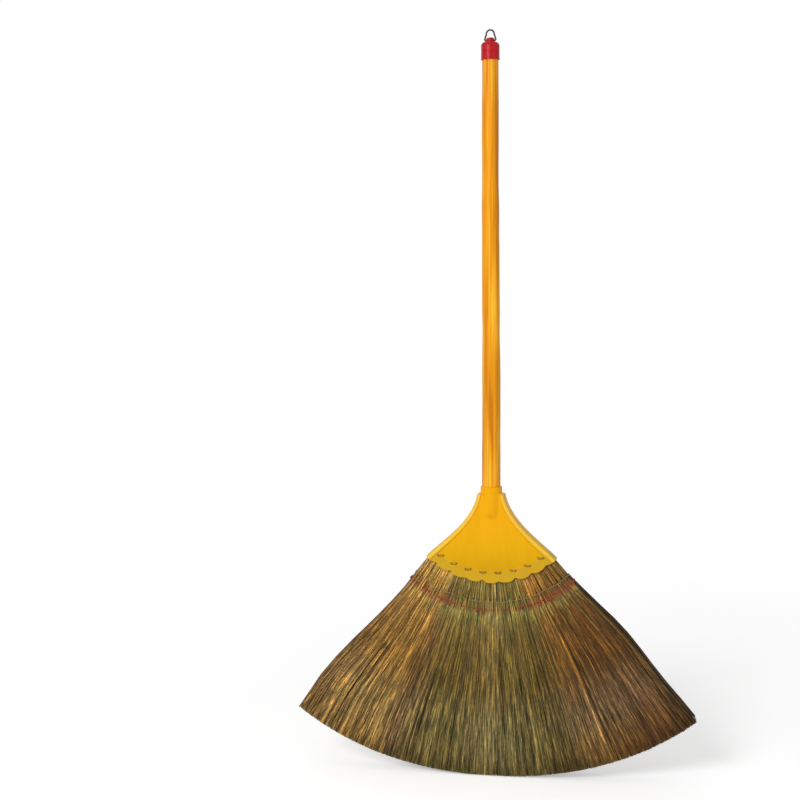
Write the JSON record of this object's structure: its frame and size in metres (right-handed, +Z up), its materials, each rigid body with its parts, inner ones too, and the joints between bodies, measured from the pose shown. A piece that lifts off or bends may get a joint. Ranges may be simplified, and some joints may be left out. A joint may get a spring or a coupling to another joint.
{
  "type": "straw broom",
  "caption": "Straw broom: a wide fan of dried grass stitched into a yellow plastic head, on a film-covered wooden pole with a red end cap and a wire hanging loop.",
  "frame": {"origin": "centre of the bounding box's bottom face: the floor under the middle of the fan's lowest strands, on the pole's axis", "axes": "+Z up along the pole towards the hanging loop; +X to the broom's right as seen from its front; +Y to its back, through the thin side of the fan"},
  "size_m": [0.4767, 0.0354, 0.8801],
  "materials": {
    "pole_wood": "matte",
    "yellow_film": "gloss",
    "red_plastic": "satin",
    "yellow_plastic": "satin",
    "loop_wire": "satin",
    "stitch_wire": "gloss",
    "golden_grass": "matte",
    "olive_grass": "matte",
    "brown_grass": "matte",
    "pale_twine": "matte",
    "red_twine": "matte"
  },
  "bodies": {
    "broom": {"pole_core": "pole_wood", "pole_film": "yellow_film", "end_cap": "red_plastic", "head_shell": "yellow_plastic", "socket_nail": "stitch_wire", "stitch_1": "stitch_wire", "stitch_2": "stitch_wire", "stitch_3": "stitch_wire", "stitch_4": "stitch_wire", "stitch_5": "stitch_wire", "stitch_6": "stitch_wire", "stitch_7": "stitch_wire", "stitch_8": "stitch_wire", "grass_bunch_01": "golden_grass", "grass_bunch_02": "golden_grass", "grass_bunch_03": "golden_grass", "grass_bunch_04": "golden_grass", "grass_bunch_05": "golden_grass", "grass_bunch_06": "golden_grass", "grass_bunch_07": "golden_grass", "grass_bunch_08": "golden_grass", "grass_bunch_09": "golden_grass", "grass_bunch_10": "golden_grass", "grass_bunch_11": "olive_grass", "grass_bunch_12": "olive_grass", "grass_bunch_13": "olive_grass", "grass_bunch_14": "olive_grass", "grass_bunch_15": "olive_grass", "grass_bunch_16": "olive_grass", "grass_bunch_17": "olive_grass", "grass_bunch_18": "olive_grass", "grass_bunch_19": "olive_grass", "grass_bunch_20": "brown_grass", "grass_bunch_21": "brown_grass", "grass_bunch_22": "brown_grass", "grass_bunch_23": "brown_grass", "grass_bunch_24": "brown_grass", "grass_bunch_25": "brown_grass", "grass_bunch_26": "brown_grass", "grass_bunch_27": "brown_grass", "grass_bunch_28": "brown_grass", "pale_twine": "pale_twine", "red_twine": "red_twine"},
    "hang_loop": {"hang_loop": "loop_wire"}
  },
  "joints": [
    {"name": "hang_loop_hinge", "type": "hinge", "parent": "broom", "child": "hang_loop", "pos_m": [0, 0, 0.8671], "axis": [1, 0, 0], "range_deg": [-90, 90]}
  ]
}
